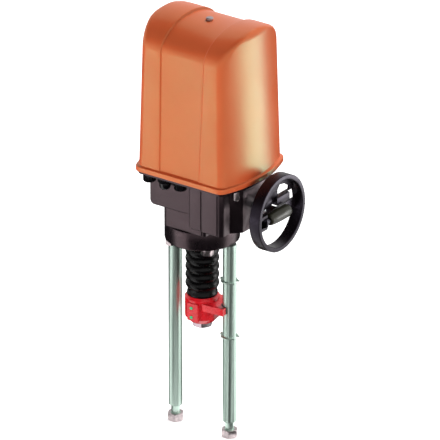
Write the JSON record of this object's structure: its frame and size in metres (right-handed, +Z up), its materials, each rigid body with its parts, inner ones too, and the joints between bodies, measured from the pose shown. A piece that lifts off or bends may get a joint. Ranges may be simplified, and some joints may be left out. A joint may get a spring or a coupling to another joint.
{
  "type": "linear valve actuator",
  "caption": "Upright linear valve actuator: two pillars, red stem coupling with bellows, black gear housing, orange hood and side handwheel with fold-out crank.",
  "frame": {"origin": "on the stem axis, in the plane of the two pillars' shoulders, where the valve's yoke seats", "axes": "+Z up along the stem towards the hood, +X along the line of the pillars towards the handwheel, +Y completes the right-handed frame"},
  "size_m": [0.25, 0.174, 0.7183],
  "materials": {
    "cast_black": "satin black paint on cast metal",
    "zinc_steel": "zinc plated",
    "green_steel": "plated, with a green cast",
    "hood_orange": "orange, semi-gloss",
    "seal_rubber": "matt black",
    "gland_plastic": "black polyamide",
    "bronze": "turned bronze",
    "bright_steel": "turned and ground",
    "coupling_red": "red gloss paint",
    "screw_green": "green locking paint",
    "guide_plastic": "dark polyamide",
    "gear_steel": "greased steel",
    "grip_olive": "dark olive plastic",
    "motor_grey": "grey paint",
    "board_green": "green laminate",
    "can_aluminium": "drawn can"
  },
  "bodies": {
    "frame": {"flange_plate": "cast_black", "gear_housing": "cast_black", "rear_pillar": "green_steel", "front_pillar": "green_steel", "pillar_nuts": "zinc_steel", "flange_bolts": "zinc_steel", "base_tray": "cast_black", "tray_screws": "zinc_steel", "cover": "hood_orange", "hood_plug": "zinc_steel", "cover_seal": "seal_rubber", "cover_screws": "zinc_steel", "cover_lugs": "zinc_steel", "gland_body": "gland_plastic", "gland_dome_nut": "gland_plastic", "blanking_plugs": "gland_plastic", "guide_bush": "bronze", "bellows": "seal_rubber", "lower_bearing": "bright_steel", "upper_bearing": "bright_steel", "shaft_bushes": "bronze", "shaft_seal": "seal_rubber", "motor": "motor_grey", "motor_bracket": "zinc_steel", "idler_pin": "bright_steel", "switch_rail": "zinc_steel", "limit_switches": "guide_plastic", "circuit_board": "board_green", "board_pillars": "zinc_steel", "capacitor": "can_aluminium", "terminal_block": "board_green"},
    "nut": {"spindle_nut": "bronze", "crown_gear": "gear_steel", "output_gear": "gear_steel", "retaining_ring": "zinc_steel"},
    "stem": {"spindle": "bright_steel", "stem_coupling": "coupling_red", "coupling_screws": "screw_green", "slide_insert": "guide_plastic", "stem_adapter": "bright_steel", "trip_collar": "zinc_steel", "bellows_collar": "bright_steel"},
    "wheel": {"wheel_shaft": "bright_steel", "bevel_pinion": "gear_steel", "handwheel": "cast_black", "wheel_screw": "zinc_steel", "crank_pin": "zinc_steel"},
    "crank": {"crank_arm": "bright_steel"},
    "grip": {"crank_grip": "grip_olive"},
    "idler": {"idler_gear": "gear_steel"},
    "rotor": {"motor_pinion": "gear_steel"},
    "upper_clip": {"upper_travel_clip": "zinc_steel"},
    "lower_clip": {"lower_travel_clip": "zinc_steel"}
  },
  "joints": [
    {"name": "spindle_nut_turn", "type": "hinge", "parent": "frame", "child": "nut", "pos_m": [0, 0, 0.3895], "axis": [0, 0, 1], "range_deg": [-2880, 2880]},
    {"name": "stem_travel", "type": "slide", "parent": "frame", "child": "stem", "axis": [0, 0, 1], "range_m": [-0.04, 0.04], "deforming": ["bellows"]},
    {"name": "handwheel_turn", "type": "hinge", "parent": "frame", "child": "wheel", "pos_m": [0.15, 0, 0.3895], "axis": [1, 0, 0], "range_deg": [-5760, 5760]},
    {"name": "crank_fold", "type": "hinge", "parent": "wheel", "child": "crank", "pos_m": [0.1515, -0.044, 0.3895], "axis": [0, 0, -1], "range_deg": [0, 90]},
    {"name": "grip_spin", "type": "hinge", "parent": "crank", "child": "grip", "pos_m": [0.1515, 0, 0.3895], "axis": [0, 1, 0], "continuous": true},
    {"name": "idler_turn", "type": "hinge", "parent": "frame", "child": "idler", "pos_m": [0.03315, 0.03066, 0.45], "axis": [0, 0, 1], "range_deg": [-14400, 14400]},
    {"name": "motor_turn", "type": "hinge", "parent": "frame", "child": "rotor", "pos_m": [0.055, 0, 0.462], "axis": [0, 0, 1], "range_deg": [-57600, 57600]},
    {"name": "upper_clip_slide", "type": "slide", "parent": "frame", "child": "upper_clip", "axis": [0, 0, 1], "range_m": [0, 0.05]},
    {"name": "lower_clip_slide", "type": "slide", "parent": "frame", "child": "lower_clip", "axis": [0, 0, 1], "range_m": [-0.06, 0]}
  ],
  "couplings": [
    {"joint": "spindle_nut_turn", "follows": "stem_travel", "rad_per_m": 1256.6},
    {"joint": "handwheel_turn", "follows": "stem_travel", "rad_per_m": 2513.3},
    {"joint": "idler_turn", "follows": "stem_travel", "rad_per_m": -6283.2},
    {"joint": "motor_turn", "follows": "stem_travel", "rad_per_m": 25133}
  ]
}
